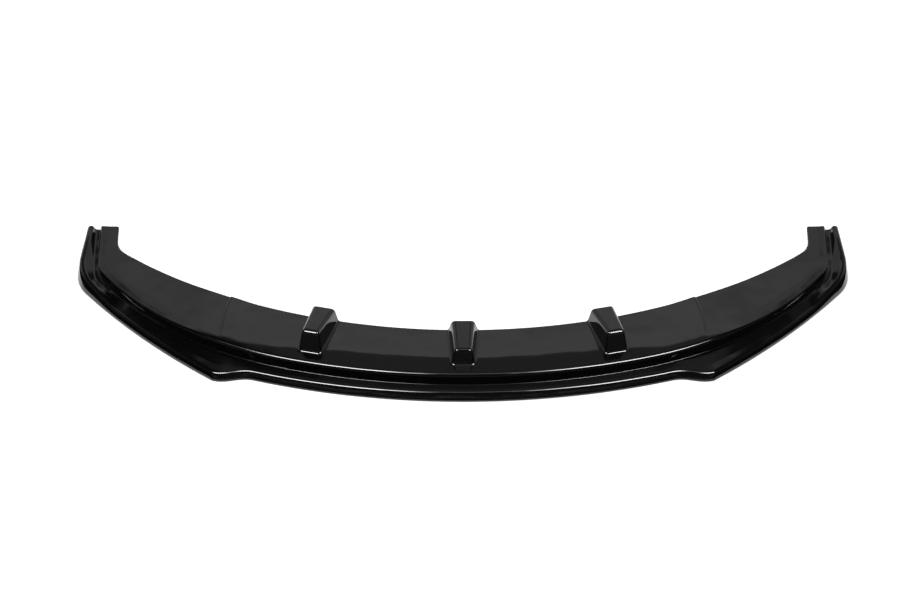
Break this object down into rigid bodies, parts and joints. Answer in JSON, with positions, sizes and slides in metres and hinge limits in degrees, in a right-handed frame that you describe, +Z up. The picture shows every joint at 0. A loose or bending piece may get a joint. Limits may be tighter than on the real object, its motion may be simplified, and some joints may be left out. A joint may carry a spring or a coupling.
{
  "type": "front splitter lip",
  "caption": "Thin gloss black front splitter lip: a curved lower bumper edge with a shelf, a raised flange with hollow bosses, and swept ends that climb to fins.",
  "frame": {"origin": "middle of the bounding box on the ground, where the lower edge of the lip rests", "axes": "+X to the right as the picture shows it, -Y to the front of the car, +Z up"},
  "size_m": [1.74, 0.53, 0.1005],
  "materials": {
    "gloss_black_abs": "gloss"
  },
  "bodies": {
    "root": {"splitter_lip": "gloss_black_abs"}
  },
  "joints": []
}
